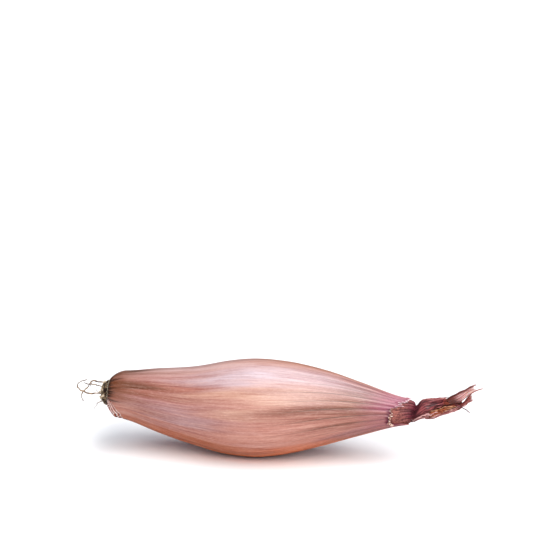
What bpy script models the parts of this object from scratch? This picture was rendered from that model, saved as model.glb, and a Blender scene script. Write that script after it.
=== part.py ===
"""A banana shallot lying on its belly: the bulb in its skin, the dry twisted neck with the
ends of its dead leaves, the root plate and the dry roots.

Metres, +Z up, +X from the root plate to the neck. The origin is in the small flat spot that the
bulb rests on, within 1 mm of the spot's centre and of the plumb line of the centre of mass.
Run with: blender --background --python part.py
"""

import math

import bmesh
import bpy
import numpy as np

MM = 0.001

# The bulb: one spindle from the root collar to the torn edge of its skin.
BELLY_RADIUS = 18.0 * MM
BELLY_X = 1.3 * MM
ROOT_COLLAR_X = -53.2 * MM
ROOT_SHOULDER_X = -47.4 * MM
SKIN_TEAR_X = 53.2 * MM
ROOT_COLLAR_RADIUS = 4.8 * MM
ROOT_SHOULDER_RADIUS = 9.0 * MM
SKIN_TEAR_RADIUS = 5.4 * MM
REST_CUT = 0.45 * MM  # depth of the flat spot pressed into the belly

# The bulb's cross-section leaves a circle by these shares of its radius: it is a little wider
# than it is tall, and flatter below than above.
OVAL = 0.010
FLATTENING = 0.007
AXIS_HEIGHT = BELLY_RADIUS * (1 - OVAL - FLATTENING) - REST_CUT

# Radius at places along the bulb between its shoulder and its tear, as (x, radius).
FLANKS = [
    (ROOT_SHOULDER_X, ROOT_SHOULDER_RADIUS),
    (-35.2 * MM, 11.7 * MM),
    (-20.7 * MM, 14.6 * MM),
    (-8.7 * MM, 17.2 * MM),
    (BELLY_X, BELLY_RADIUS),
    (10.8 * MM, 17.2 * MM),
    (25.3 * MM, 14.0 * MM),
    (40.3 * MM, 9.3 * MM),
    (SKIN_TEAR_X, SKIN_TEAR_RADIUS),
]
# How far the bulb's middle line rises above its height at the belly, as (x, rise).
MIDDLE_LINE = [
    (-57.0 * MM, 3.5 * MM),
    (-46.0 * MM, 2.6 * MM),
    (-22.0 * MM, -0.1 * MM),
    (BELLY_X, 0.0),
    (31.0 * MM, 1.2 * MM),
    (61.0 * MM, 0.9 * MM),
]

# The dry neck: a cone of inner skin, a pinch, then the twisted bundle of dead leaf sheaths.
# Each ring is (x, height of its middle above the surface, half height, half depth).
PIECE_GAP = 0.3 * MM
NECK_END_X = 73.0 * MM
NECK_RINGS = [
    (SKIN_TEAR_X + PIECE_GAP, 18.4 * MM, 5.2 * MM, 5.0 * MM),
    (56.3 * MM, 18.3 * MM, 4.6 * MM, 4.1 * MM),
    (59.4 * MM, 18.1 * MM, 3.2 * MM, 2.5 * MM),
    (63.5 * MM, 19.8 * MM, 3.5 * MM, 2.4 * MM),
    (67.3 * MM, 21.0 * MM, 2.9 * MM, 2.2 * MM),
    (70.7 * MM, 22.0 * MM, 2.7 * MM, 2.0 * MM),
    (NECK_END_X, 22.8 * MM, 2.5 * MM, 1.7 * MM),
]
NECK_FOLDS = 7
NECK_FOLD_SHARE = 0.06  # depth of the folds, as a share of the radius
NECK_TWIST = math.radians(130)

# Leaf ends: flat tapered strips past the end of the neck, as (x, z, half width) with a thickness.
LEAF_THICKNESS = 0.7 * MM
LEAF_TIP_HALF_WIDTH = 0.35 * MM
LEAVES = {
    "neck_leaf_upper": [
        (NECK_END_X + PIECE_GAP, 24.3 * MM, 1.4 * MM),
        (77.8 * MM, 27.0 * MM, 1.3 * MM),
        (82.8 * MM, 28.9 * MM, LEAF_TIP_HALF_WIDTH),
    ],
    "neck_leaf_lower": [
        (NECK_END_X + PIECE_GAP, 21.4 * MM, 1.2 * MM),
        (76.5 * MM, 23.1 * MM, 1.4 * MM),
        (79.3 * MM, 24.4 * MM, 1.0 * MM),
    ],
}

# The root plate: a low dome on the bulb's root end.
PLATE_RADIUS = 4.5 * MM
PLATE_HEIGHT = 2.3 * MM
PLATE_BASE_X = ROOT_COLLAR_X - PIECE_GAP

# Threads: dry roots from the root plate, and one loose fibre at the neck. Each is a list of
# points along the thread, from its fixed end to its free end.
ROOT_RADIUS = 0.26 * MM
ROOT_TIP_SHARE = 0.5  # a root's radius at its tip, as a share of that at its base
FIBRE_RADIUS = 0.2 * MM
THREAD_POINTS_PER_SPAN = 5
ROOTS = {
    "root_1": [
        (-56.3, -0.6, 20.3),
        (-58.8, -1.6, 19.8),
        (-62.5, -2.4, 20.4),
        (-65.2, -3.0, 22.2),
        (-65.0, -3.2, 24.2),
        (-62.1, -2.8, 25.4),
    ],
    "root_2": [
        (-55.3, 1.2, 23.9),
        (-59.4, 2.0, 24.9),
        (-61.5, 2.2, 22.9),
        (-63.6, 2.6, 20.2),
        (-64.3, 3.0, 18.4),
        (-63.6, 3.2, 16.4),
    ],
    "root_3": [
        (-56.1, 0.7, 22.0),
        (-59.5, 0.3, 22.9),
        (-62.9, -0.6, 24.0),
    ],
    "root_4": [
        (-55.7, 2.3, 19.4),
        (-58.3, 4.1, 18.6),
        (-60.3, 6.2, 19.2),
    ],
    "root_5": [
        (-55.7, -1.9, 18.5),
        (-57.7, -3.0, 16.9),
        (-59.1, -3.2, 14.9),
    ],
    "root_6": [
        (-55.8, 0.5, 17.9),
        (-57.5, 1.2, 16.2),
        (-59.6, 1.0, 15.4),
    ],
}
FIBRE = [
    (73.3, -0.8, 20.7),
    (75.9, -1.6, 19.9),
    (77.9, -2.2, 19.1),
]

BULB_SIDES = 48
BULB_RINGS = 44
SHOULDER_RINGS = 7
NECK_SIDES = 28
NECK_RINGS_PER_SPAN = 4


def clear_scene():
    for obj in list(bpy.data.objects):
        bpy.data.objects.remove(obj)


def material(name, colour, roughness):
    made = bpy.data.materials.new(name)
    made.use_nodes = True
    shader = made.node_tree.nodes["Principled BSDF"]
    shader.inputs["Base Color"].default_value = (*colour, 1.0)
    shader.inputs["Roughness"].default_value = roughness
    shader.inputs["Metallic"].default_value = 0.0
    return made


def smooth_through(stations, at):
    """Values at the places `at` of a smooth curve through the stations (place, value, ...).

    Each span is a cubic whose end slopes are those of the chord between its neighbours.
    """
    table = np.array(stations, float)
    place, values = table[:, 0], table[:, 1:]
    slope = np.gradient(values, place, axis=0)
    span = np.clip(np.searchsorted(place, at, side="right") - 1, 0, len(place) - 2)
    width = (place[span + 1] - place[span])[:, None]
    t = ((at - place[span])[:, None] / width).clip(0.0, 1.0)
    start, end = values[span], values[span + 1]
    bend_in, bend_out = slope[span] * width, slope[span + 1] * width
    return (
        start * (1 + 2 * t) * (1 - t) ** 2
        + bend_in * t * (1 - t) ** 2
        + end * t**2 * (3 - 2 * t)
        - bend_out * t**2 * (1 - t)
    )


def add_object(name, data, finish):
    obj = bpy.data.objects.new(name, data)
    data.materials.append(finish)
    bpy.context.scene.collection.objects.link(obj)
    return obj


def lofted(rings):
    """A closed bmesh skinned over a stack of rings, each an array of points, with flat ends."""
    made = bmesh.new()
    stack = [[made.verts.new(point) for point in ring] for ring in rings]
    for near, far in zip(stack, stack[1:]):
        for side in range(len(near)):
            other = (side + 1) % len(near)
            made.faces.new((near[side], near[other], far[other], far[side]))
    made.faces.new(stack[0])
    made.faces.new(stack[-1])
    bmesh.ops.recalc_face_normals(made, faces=made.faces[:])
    return made


def mesh_object(name, made, finish, sharp_angle=math.radians(40)):
    data = bpy.data.meshes.new(name)
    made.to_mesh(data)
    made.free()
    data.shade_smooth()
    data.set_sharp_from_angle(angle=sharp_angle)
    return add_object(name, data, finish)


def middle_height(x):
    """Height of the bulb's middle line above the surface it lies on."""
    return AXIS_HEIGHT + smooth_through(MIDDLE_LINE, x)[:, 0]


def section(angle):
    """The cross-section's radius as a share of the bulb's, at an angle from the +Y side."""
    from_below = angle + math.pi / 2
    return 1 - OVAL * np.cos(2 * from_below) - FLATTENING * np.cos(3 * from_below)


def bulb(finish):
    """A spindle with a rounded shoulder at the root end and a flat spot under its belly."""
    turn = np.linspace(0.0, math.pi / 2, SHOULDER_RINGS, endpoint=False)
    shoulder_x = ROOT_SHOULDER_X - (ROOT_SHOULDER_X - ROOT_COLLAR_X) * np.cos(turn)
    shoulder_radius = ROOT_COLLAR_RADIUS + (ROOT_SHOULDER_RADIUS - ROOT_COLLAR_RADIUS) * np.sin(turn)
    flank_x = np.linspace(ROOT_SHOULDER_X, SKIN_TEAR_X, BULB_RINGS)
    flank_radius = smooth_through(FLANKS, flank_x)[:, 0]
    x = np.concatenate([shoulder_x, flank_x])[:, None]
    radius = np.concatenate([shoulder_radius, flank_radius])[:, None]
    angle = np.linspace(0.0, math.tau, BULB_SIDES, endpoint=False)[None, :]
    reach = radius * section(angle)
    rings = np.stack(
        [
            np.broadcast_to(x, reach.shape),
            reach * np.cos(angle),
            middle_height(x[:, 0])[:, None] + reach * np.sin(angle),
        ],
        axis=2,
    )
    made = lofted(rings)
    cut = bmesh.ops.bisect_plane(
        made,
        geom=made.verts[:] + made.edges[:] + made.faces[:],
        plane_co=(0, 0, 0),
        plane_no=(0, 0, 1),
        clear_inner=True,
    )
    rim = [part for part in cut["geom_cut"] if isinstance(part, bmesh.types.BMEdge)]
    bmesh.ops.contextual_create(made, geom=rim)
    bmesh.ops.recalc_face_normals(made, faces=made.faces[:])
    return mesh_object("bulb", made, finish)


def dry_neck(finish):
    """Rings carried along the neck's rising line, folded lengthwise and twisted past the pinch."""
    table = np.array(NECK_RINGS)
    x = np.interp(
        np.arange((len(table) - 1) * NECK_RINGS_PER_SPAN + 1) / NECK_RINGS_PER_SPAN,
        np.arange(len(table)),
        table[:, 0],
    )
    height, half_height, half_depth = smooth_through(NECK_RINGS, x).T
    lean = np.gradient(height, x)[:, None]
    along = ((x - x[0]) / (x[-1] - x[0]))[:, None]
    angle = np.linspace(0.0, math.tau, NECK_SIDES, endpoint=False)[None, :]
    fold = 1 + NECK_FOLD_SHARE * along * np.cos(NECK_FOLDS * angle + NECK_TWIST * along)
    up = half_height[:, None] * fold * np.sin(angle)
    side = half_depth[:, None] * fold * np.cos(angle)
    # Between its upright end faces each ring leans back with the line, to stay square to it.
    leaning = np.minimum(1.0, 6 * along) * np.minimum(1.0, 6 * (1 - along))
    rings = np.stack([x[:, None] - up * lean * leaning, side, height[:, None] + up], axis=2)
    return mesh_object("dry_neck", lofted(rings), finish)


def neck_leaf(name, line, finish):
    """A flat strip with its broad sides to front and back, tapered towards its free end."""
    table = np.array(line)
    x = np.linspace(table[0, 0], table[-1, 0], 9)
    height, half_width = smooth_through(line, x).T
    half_thickness = LEAF_THICKNESS / 2
    corners = [(-1, -1), (1, -1), (1, 1), (-1, 1)]
    rings = [
        [(at, across * half_thickness, z + up * width) for across, up in corners]
        for at, z, width in zip(x, height, half_width)
    ]
    return mesh_object(name, lofted(rings), finish)


def root_plate(finish):
    """A dome turned about the bulb's middle line, standing on a flat base."""
    turn = np.linspace(0.0, math.pi / 2 * 0.93, 7)[:, None]
    angle = np.linspace(0.0, math.tau, 24, endpoint=False)[None, :]
    reach = PLATE_RADIUS * np.cos(turn)
    x = PLATE_BASE_X - PLATE_HEIGHT * np.sin(turn) + 0 * angle
    centre = middle_height(np.array([PLATE_BASE_X]))[0]
    rings = np.stack([x, reach * np.cos(angle), centre + reach * np.sin(angle)], axis=2)
    return mesh_object("root_plate", lofted(rings), finish)


def thread(name, points_mm, radius, tip_share, finish):
    """A round thread on a smooth line through its points, thinner towards its free end."""
    knots = np.array(points_mm) * MM
    step = np.arange(len(knots), dtype=float)
    spans = len(knots) - 1
    at = np.linspace(0.0, spans, spans * THREAD_POINTS_PER_SPAN + 1)
    line = smooth_through(np.column_stack([step, knots]), at)
    curve = bpy.data.curves.new(name, "CURVE")
    curve.dimensions = "3D"
    curve.bevel_depth = radius
    curve.bevel_resolution = 1
    curve.use_fill_caps = True
    spline = curve.splines.new("POLY")
    spline.points.add(len(line) - 1)
    for point, place, share in zip(spline.points, line, at / spans):
        point.co = (*place, 1.0)
        point.radius = 1 + (tip_share - 1) * share
    return add_object(name, curve, finish)


def main():
    clear_scene()
    skin = material("skin", (0.58, 0.25, 0.17), 0.4)
    dry_leaf = material("dry_leaf", (0.30, 0.09, 0.08), 0.6)
    leaf_end = material("leaf_end", (0.47, 0.21, 0.19), 0.6)
    plate = material("root_plate", (0.36, 0.27, 0.20), 0.85)
    root = material("root", (0.30, 0.20, 0.13), 0.8)
    bulb(skin)
    dry_neck(dry_leaf)
    for name, line in LEAVES.items():
        neck_leaf(name, line, leaf_end)
    root_plate(plate)
    for name, points in ROOTS.items():
        thread(name, points, ROOT_RADIUS, ROOT_TIP_SHARE, root)
    thread("neck_fibre", FIBRE, FIBRE_RADIUS, 1.0, dry_leaf)


main()
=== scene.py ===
import math

import bpy
import numpy as np
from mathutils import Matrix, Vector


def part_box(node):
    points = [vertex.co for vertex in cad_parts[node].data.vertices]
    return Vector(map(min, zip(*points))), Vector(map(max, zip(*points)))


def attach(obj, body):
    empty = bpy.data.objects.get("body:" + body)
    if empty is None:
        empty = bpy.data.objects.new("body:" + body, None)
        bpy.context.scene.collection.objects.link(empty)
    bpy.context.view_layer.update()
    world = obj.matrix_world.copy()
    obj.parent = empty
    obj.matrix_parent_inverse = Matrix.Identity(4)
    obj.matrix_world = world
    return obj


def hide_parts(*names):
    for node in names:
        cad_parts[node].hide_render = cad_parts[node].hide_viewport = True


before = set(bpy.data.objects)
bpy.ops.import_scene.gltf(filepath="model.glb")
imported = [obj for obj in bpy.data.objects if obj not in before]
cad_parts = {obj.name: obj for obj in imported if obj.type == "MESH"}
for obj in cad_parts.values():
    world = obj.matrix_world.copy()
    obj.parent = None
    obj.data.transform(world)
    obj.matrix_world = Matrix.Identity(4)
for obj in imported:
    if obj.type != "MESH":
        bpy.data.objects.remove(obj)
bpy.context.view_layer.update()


# ---- The skin -------------------------------------------------------------------------------
# The bulb's outermost scales, dried to a thin coppery paper over the pink ones below. They are
# one closed spindle: gathered into creases round the root plate, ribbed with grey-green veins
# that run together towards the neck, and torn off raggedly where the neck begins.

MM = 0.001
bulb_low, bulb_high = (np.array(corner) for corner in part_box("bulb"))
COLLAR_X, TEAR_X = bulb_low[0], bulb_high[0]
SKIN_LENGTH = TEAR_X - COLLAR_X
OVAL = 0.010  # how much wider than round the bulb is
FLATTENING = 0.007  # how much flatter it is below than above
BELLY_RADIUS = (bulb_high[1] - bulb_low[1]) / 2 / (1 + OVAL)

# The bulb's radius at places along it: (share of the way from collar to tear, share of the belly).
COLLAR_GIRTH = 0.267
UPPER_CORNER, LOWER_CORNER = 0.0545, 0.0235  # where the root end turns into the flank
SHARP_CORNER, SOFT_CORNER = 1.56, 1.0  # 1 is a quarter ellipse, 2 a straight bevel
GIRTHS = [
    (LOWER_CORNER, 0.483),
    (UPPER_CORNER, 0.500),
    (0.169, 0.650),
    (0.305, 0.811),
    (0.418, 0.956),
    (0.512, 1.000),
    (0.602, 0.956),
    (0.738, 0.778),
    (0.879, 0.517),
    (1.000, 0.297),
    (1.036, 0.256),
]
# The height of the bulb's middle line: (share of the way, share of the belly's radius).
MIDDLE_LINE = [
    (-0.036, 1.152),
    (0.068, 1.102),
    (0.293, 0.952),
    (0.512, 0.958),
    (0.791, 1.025),
    (1.073, 1.008),
]
# Where the skin is torn off, round the neck from the back over the top: (degrees, mm past TEAR_X).
TEAR_LINE = [
    (0, 2.9), (25, 3.1), (50, 3.3), (75, 3.7), (97, 3.4), (108, 3.0), (115, 2.0), (119, 2.7),
    (123, 0.7), (126, 1.9), (129, -0.5), (133, 1.1), (136, -0.4), (141, 1.4), (145, -1.1),
    (149, -0.6), (154, -2.3), (163, -3.0), (172, -2.6), (185, -3.3), (204, -3.1), (213, -2.0),
    (221, 0.6), (228, 2.4), (245, 3.1), (275, 3.2), (305, 3.0), (335, 2.5), (360, 2.9),
]
TEAR_JAGS = 0.35 * MM
ROOT_JAGS = 0.30 * MM
TEAR_FLARE = 0.30 * MM  # how far the torn edge lifts off what lies below it
# The main veins, at the neck: (degrees from the back over the top, how dark the vein is).
VEINS = [
    (11, 0.5), (26, 0.9), (40, 0.6), (54, 0.8), (68, 0.5), (81, 0.6), (95, 0.5), (108, 0.5),
    (121, 0.7), (135, 1.0), (147, 0.9), (160, 1.0), (174, 1.0), (188, 0.8), (200, 0.5), (212, 0.5),
    (226, 0.5), (240, 0.4), (254, 0.7), (268, 0.5), (283, 0.9), (297, 0.6), (312, 0.8), (327, 0.5),
    (342, 0.9), (357, 0.6),
]
VEIN_DRIFT = 7  # degrees that the veins wander forwards between the neck and the belly
DRIFT_BELLY, DRIFT_NECK = 5 * MM, 45 * MM  # the places along the bulb where they do so
SCALE_EDGES = 5  # torn edges of the scales stacked round the root end
SCALE_TURN = 0.70  # the share of the way round where they lie furthest apart, low on the front
SCALE_PITCH = 1.55 * MM  # how far apart they lie there
SCALE_STEP = 0.25 * MM  # how far each steps up
# The rows inside the skin's two ends, in mm: (how far back from the edge, how far in from it).
RIM_INSIDE = [(1.8, 1.5), (0.9, 0.7), (0.25, 0.28), (0.0, 0.10)]
TEAR_INSIDE = [(0.0, 0.10), (0.25, 0.26), (1.2, 0.40), (5.0, 0.9), (8.0, 2.2)]
SKIN_COLUMNS = 320
CORNER_ROWS = 72
FLANK_ROWS = 212
SHARP_FOLD = math.radians(60)  # steeper folds between faces are shaded as creases


def smooth_through(stations, at):
    """Values at `at` of a smooth curve through the stations (place, value), in place order.

    Each span is a cubic whose end slopes are those of the chord between its neighbours.
    """
    place, value = np.array(stations, float).T
    slope = np.gradient(value, place)
    span = np.clip(np.searchsorted(place, at, side="right") - 1, 0, len(place) - 2)
    width = place[span + 1] - place[span]
    t = np.clip((at - place[span]) / width, 0.0, 1.0)
    return (
        value[span] * (1 + 2 * t) * (1 - t) ** 2
        + slope[span] * width * t * (1 - t) ** 2
        + value[span + 1] * t**2 * (3 - 2 * t)
        - slope[span + 1] * width * t**2 * (1 - t)
    )


def ease(value, start, end):
    """0 before start, 1 past end, and the smooth cubic 3t^2 - 2t^3 between them."""
    t = np.clip((value - start) / (end - start), 0.0, 1.0)
    return t * t * (3 - 2 * t)


def waves(u, v, seed, turns_u, turns_v, count=20):
    """An uneven height at (u, v), with a spread of about 1, that repeats when u grows by 1.

    It is a sum of cosines. Each has a whole number of turns in u from the range turns_u, a number
    of turns in v up to turns_v either way, a random phase, and less height the more it turns.
    """
    draw = np.random.default_rng(seed)
    across = draw.integers(turns_u[0], turns_u[1] + 1, count)
    along = draw.uniform(-turns_v, turns_v, count)
    phase = draw.uniform(0, math.tau, count)
    height = 1 / np.sqrt(1 + across + np.abs(along))
    height /= np.sqrt((height**2).sum() / 2)
    u, v = np.broadcast_arrays(u, v)
    total = np.zeros(u.shape)
    for k in range(count):
        total += height[k] * np.cos(math.tau * (across[k] * u + along[k] * v) + phase[k])
    return total


def add_piece(name, points, faces, corner_uv, marks, finish):
    """A mesh object from points and faces, with a UV map, named point values and one finish."""
    data = bpy.data.meshes.new(name)
    data.from_pydata(points, [], faces)
    layer = data.uv_layers.new(name="lie")
    layer.data.foreach_set("uv", np.asarray(corner_uv, np.float32).ravel())
    for mark, values in marks.items():
        kind = "FLOAT_VECTOR" if values.ndim == 2 else "FLOAT"
        field = "vector" if values.ndim == 2 else "value"
        attribute = data.attributes.new(mark, kind, "POINT")
        attribute.data.foreach_set(field, np.ascontiguousarray(values, np.float32).ravel())
    data.shade_smooth()
    data.set_sharp_from_angle(angle=SHARP_FOLD)
    data.materials.append(finish)
    data.update()
    piece = bpy.data.objects.new(name, data)
    bpy.context.scene.collection.objects.link(piece)
    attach(piece, "root")
    return piece


def grid_faces(rows, columns, closed):
    """Faces and corner (u, v) of a grid numbered row by row; closed joins its side edges.

    A face runs across and then down, so it points the way of (across) x (down).
    """
    down, across = np.meshgrid(
        np.arange(rows - 1), np.arange(columns if closed else columns - 1), indexing="ij"
    )
    down, across = down.ravel(), across.ravel()
    beside = (across + 1) % columns
    faces = np.stack(
        [
            down * columns + across,
            down * columns + beside,
            (down + 1) * columns + beside,
            (down + 1) * columns + across,
        ],
        axis=1,
    )
    steps = columns if closed else columns - 1
    u = (across[:, None] + np.array([0, 1, 1, 0])) / steps
    v = (down[:, None] + np.array([0, 0, 1, 1])) / (rows - 1)
    return faces, np.stack([u, v], axis=2).reshape(-1, 2)


def ring_solid(name, rings, poles, marks, finish):
    """A closed body skinned over rings (rows, columns, xyz), each end drawn to a pole point.

    A mark that is given for each row only, or for each column only, is spread over the others.
    """
    rows, columns = rings.shape[:2]
    faces, corner_uv = grid_faces(rows, columns, True)
    near, far = rows * columns, rows * columns + 1
    across = np.arange(columns)
    beside = (across + 1) % columns
    last = (rows - 1) * columns
    near_fan = np.stack([np.full(columns, near), beside, across], axis=1)
    far_fan = np.stack([np.full(columns, far), last + across, last + beside], axis=1)
    fan_u = (across[:, None] + np.array([0.5, 1.0, 0.0])) / columns
    near_uv = np.stack([fan_u, np.zeros_like(fan_u)], axis=2).reshape(-1, 2)
    fan_u = (across[:, None] + np.array([0.5, 0.0, 1.0])) / columns
    far_uv = np.stack([fan_u, np.ones_like(fan_u)], axis=2).reshape(-1, 2)
    points = np.concatenate([rings.reshape(-1, 3), np.array(poles)])
    point_marks = {}
    for mark, values in marks.items():
        spread = np.broadcast_to(values, (rows, columns, *values.shape[2:]))
        flat = spread.reshape(rows * columns, -1)
        ends = [flat[:columns].mean(0), flat[-columns:].mean(0)]
        point_marks[mark] = np.concatenate([flat, ends]).squeeze()
    return add_piece(
        name,
        points,
        faces.tolist() + near_fan.tolist() + far_fan.tolist(),
        np.concatenate([corner_uv, near_uv, far_uv]),
        point_marks,
        finish,
    )


def display(red, green, blue):
    """The linear red, green and blue that show as these display values, from 0 to 255."""
    share = np.array([red, green, blue]) / 255
    return np.where(share < 0.04045, share / 12.92, ((share + 0.055) / 1.055) ** 2.4)


def new_finish(name, settings):
    """A material and its node tree, with these numbers on its shader's own sockets."""
    finish = bpy.data.materials.new(name)
    finish.use_nodes = True
    for socket, value in settings.items():
        finish.node_tree.nodes["Principled BSDF"].inputs[socket].default_value = value
    return finish, finish.node_tree


def joined(finish, colour, normal, roughness=None):
    """The finish, once these outputs of its tree are joined to its shader."""
    shader = finish.node_tree.nodes["Principled BSDF"]
    finish.node_tree.links.new(colour, shader.inputs["Base Color"])
    finish.node_tree.links.new(normal, shader.inputs["Normal"])
    if roughness is not None:
        finish.node_tree.links.new(roughness, shader.inputs["Roughness"])
    return finish


def step(tree, kind, wires=(), out=0, **settings):
    """Adds a node and returns one output. Each wire sets an input to a number, colour or output."""
    node = tree.nodes.new("ShaderNode" + kind)
    for setting, value in settings.items():
        setattr(node, setting, value)
    for socket, value in dict(wires).items():
        if isinstance(value, bpy.types.NodeSocket):
            tree.links.new(value, node.inputs[socket])
        else:
            node.inputs[socket].default_value = value
    return node.outputs[out]


def mark_value(tree, mark, out="Fac"):
    """The value of a mesh's named point value."""
    return step(tree, "Attribute", out=out, attribute_name=mark)


def combine(tree, how, first, second, third=0.0):
    """One arithmetic step between numbers."""
    return step(tree, "Math", {0: first, 1: second, 2: third}, operation=how)


def times(tree, first, second):
    """The product of two numbers."""
    return combine(tree, "MULTIPLY", first, second)


def fade(tree, value, start, end, low=0.0, high=1.0):
    """Goes from low to high, smoothly, as value goes from start to end."""
    wires = {"Value": value, "From Min": start, "From Max": end, "To Min": low, "To Max": high}
    return step(tree, "MapRange", wires, interpolation_type="SMOOTHSTEP")


def mark_fade(tree, mark, start, end, low=0.0, high=1.0):
    """Goes from low to high, smoothly, as a named point value goes from start to end."""
    return fade(tree, mark_value(tree, mark), start, end, low, high)


def tint(tree, share, under, over, how="MIX"):
    """The colour `over` laid on `under` by this share. Plain colours are in display values."""
    under, over = ((*display(*c), 1.0) if isinstance(c, tuple) else c for c in (under, over))
    return step(tree, "Mix", {0: share, 6: under, 7: over}, out=2, data_type="RGBA", blend_type=how)


def noise(tree, place, scale, detail=2.0, roughness=0.5):
    """Soft random values round 0.5. The scale is one number, or one for each direction."""
    if isinstance(scale, tuple):
        place = step(tree, "VectorMath", {0: place, 1: scale}, operation="MULTIPLY")
        scale = 1.0
    wires = {"Vector": place, "Scale": scale, "Detail": detail, "Roughness": roughness}
    return step(tree, "TexNoise", wires, noise_dimensions="3D")


def relief(tree, height, distance, below=None):
    """A surface normal from a height, `distance` in metres for a height of 1, over another one."""
    wires = {"Height": height, "Distance": distance, "Strength": 1.0}
    if below is not None:
        wires["Normal"] = below
    return step(tree, "Bump", wires)


def skin_finish():
    """Satin papery skin: broad colours and a painted highlight, streaked along its fibres, dark
    veins.

    The veins are the whole numbers of a count that grows once round the bulb by len(VEINS), and
    finer ones lie four to each of them. At the root end the skin turns rusty, with dark tongues of
    painted shade in its creases and a cream rim that is a pale torn edge with a painted highlight.
    By the tear it blushes and frays purple, with painted shade beside the curled roll and a pale
    torn edge on its upper side that carries a painted highlight.
    """
    settings = {"Specular IOR Level": 0.6, "Coat Weight": 0.6, "Coat Roughness": 0.33}
    finish, tree = new_finish("papery_skin", settings)
    grain = mark_value(tree, "grain_place", "Vector")
    along = step(tree, "SeparateXYZ", {0: grain}, out=2)
    tear_gap = mark_value(tree, "tear_gap")
    root_gap = mark_value(tree, "root_gap")
    top_side = mark_value(tree, "top_side")
    flank = mark_fade(tree, "stacked", 0.5, 0.0, 0.2)

    bands = noise(tree, grain, (5.0, 5.0, 0.40), 2.0)
    streaks = noise(tree, grain, (26.0, 26.0, 1.3), 4.0, 0.70)
    fibres = noise(tree, grain, (88.0, 88.0, 2.6), 3.0, 0.6)
    mottle = noise(tree, grain, (34.0, 34.0, 15.0), 3.0, 0.65)

    # What shows where a pattern goes from start to end: (pattern, start, end, share, colour, how).
    # The broader patterns are fainter where the scales' edges are stacked.
    skin = mark_value(tree, "pigment_and_painted_light", "Color")
    for pattern, start, end, share, colour, how in [
        (bands, 0.54, 0.34, 0.12, (182, 118, 104), "MULTIPLY"),
        (streaks, 0.50, 0.68, 0.22, (232, 184, 164), "MIX"),
        (streaks, 0.50, 0.32, 0.50, (206, 150, 134), "MULTIPLY"),
        (fibres, 0.52, 0.74, 0.24, (240, 200, 184), "MIX"),
        (fibres, 0.48, 0.26, 0.34, (192, 142, 128), "MULTIPLY"),
        (mottle, 0.50, 0.72, 0.12, (240, 206, 196), "MIX"),
        (mottle, 0.50, 0.28, 0.16, (196, 138, 118), "MULTIPLY"),
    ]:
        shown = fade(tree, pattern, start, end, 0.0, share)
        if pattern in (bands, streaks):
            shown = times(tree, shown, flank)
        skin = tint(tree, shown, skin, colour, how)

    # Where it shows from the root end's rim on, or from the tips of dark tongues that reach in
    # from there: (distance, start, end, share, colour). The tongues are painted shade in the
    # creases by the rim; the cream rim is a pale torn edge with a painted highlight. Low down the
    # scales' edges show instead.
    tongues = noise(tree, grain, (13.0, 13.0, 0.6), 3.0, 0.6)
    tongues = combine(tree, "MULTIPLY_ADD", tongues, 20.0, -9.0)
    tongue_gap = combine(tree, "SUBTRACT", root_gap, tongues)
    rim_side = mark_value(tree, "rim_side")
    for gap, start, end, share, colour in [
        (root_gap, 13.0, 2.0, 0.42, (116, 62, 26)),
        (tongue_gap, 2.4, 0.0, 0.96, (44, 26, 16)),
        (root_gap, 0.48, 0.16, 0.9, (236, 220, 190)),
    ]:
        shown = times(tree, fade(tree, gap, start, end, 0.0, share), rim_side)
        skin = tint(tree, shown, skin, colour)

    uv = step(tree, "UVMap", uv_map="lie")
    round_share = step(tree, "SeparateXYZ", {0: uv}, out=0)
    lead = mark_value(tree, "vein_lead")
    count = combine(tree, "MULTIPLY_ADD", round_share, float(len(VEINS)), lead)
    off_vein = combine(tree, "PINGPONG", count, 0.5)
    strength = times(tree, mark_value(tree, "vein_strength"), fade(tree, along, 0.0, 1.8))
    vein = combine(tree, "DIVIDE", off_vein, mark_value(tree, "vein_width"))
    halo = times(tree, fade(tree, vein, 4.0, 0.5, 0.0, 0.12), strength)
    vein = times(tree, fade(tree, vein, 1.0, 0.1, 0.0, 0.88), strength)
    fine = combine(tree, "MULTIPLY_ADD", count, 4.0, times(tree, streaks, 1.4))
    fine = fade(tree, combine(tree, "PINGPONG", fine, 0.5), 0.15, 0.0)
    fine = times(tree, fine, fade(tree, along, -0.6, 2.2, 0.04, 0.46))
    skin = tint(tree, halo, skin, (146, 106, 80))
    skin = tint(tree, times(tree, fine, flank), skin, (132, 78, 66))
    skin = tint(tree, vein, skin, (84, 62, 50))

    blush = combine(tree, "MULTIPLY_ADD", top_side, 0.30, 0.20)
    blush = times(tree, fade(tree, tear_gap, 16.0, 1.0), blush)
    skin = tint(tree, blush, skin, (180, 84, 124))
    # Painted shade on the skin beside and under the curled roll, low on the front.
    roll_shade = times(tree, fade(tree, tear_gap, 2.4, 0.6), mark_value(tree, "lip_side"))
    skin = tint(tree, times(tree, roll_shade, 0.92), skin, (104, 18, 50))
    frayed = times(tree, fade(tree, tear_gap, 4.5, 1.0), top_side)
    frayed = times(tree, fade(tree, streaks, 0.52, 0.42, 0.0, 0.75), frayed)
    skin = tint(tree, frayed, skin, (132, 34, 76))
    # A pale torn edge along the top of the tear, with a painted highlight on it.
    pale_edge_and_highlight = times(tree, fade(tree, tear_gap, 0.55, 0.10), top_side)
    skin = tint(tree, pale_edge_and_highlight, skin, (238, 208, 212))

    gloss = fade(tree, streaks, 0.30, 0.70, 0.34, 0.46)
    gloss = combine(tree, "ADD", gloss, fade(tree, fibres, 0.30, 0.75, -0.04, 0.06))
    bumps = relief(tree, fibres, 0.00006)
    bumps = relief(tree, streaks, 0.00013, bumps)
    bumps = relief(tree, mottle, 0.00004, bumps)
    bumps = relief(tree, times(tree, vein, -1.0), 0.00006, bumps)
    return joined(finish, skin, bumps, gloss)


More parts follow.
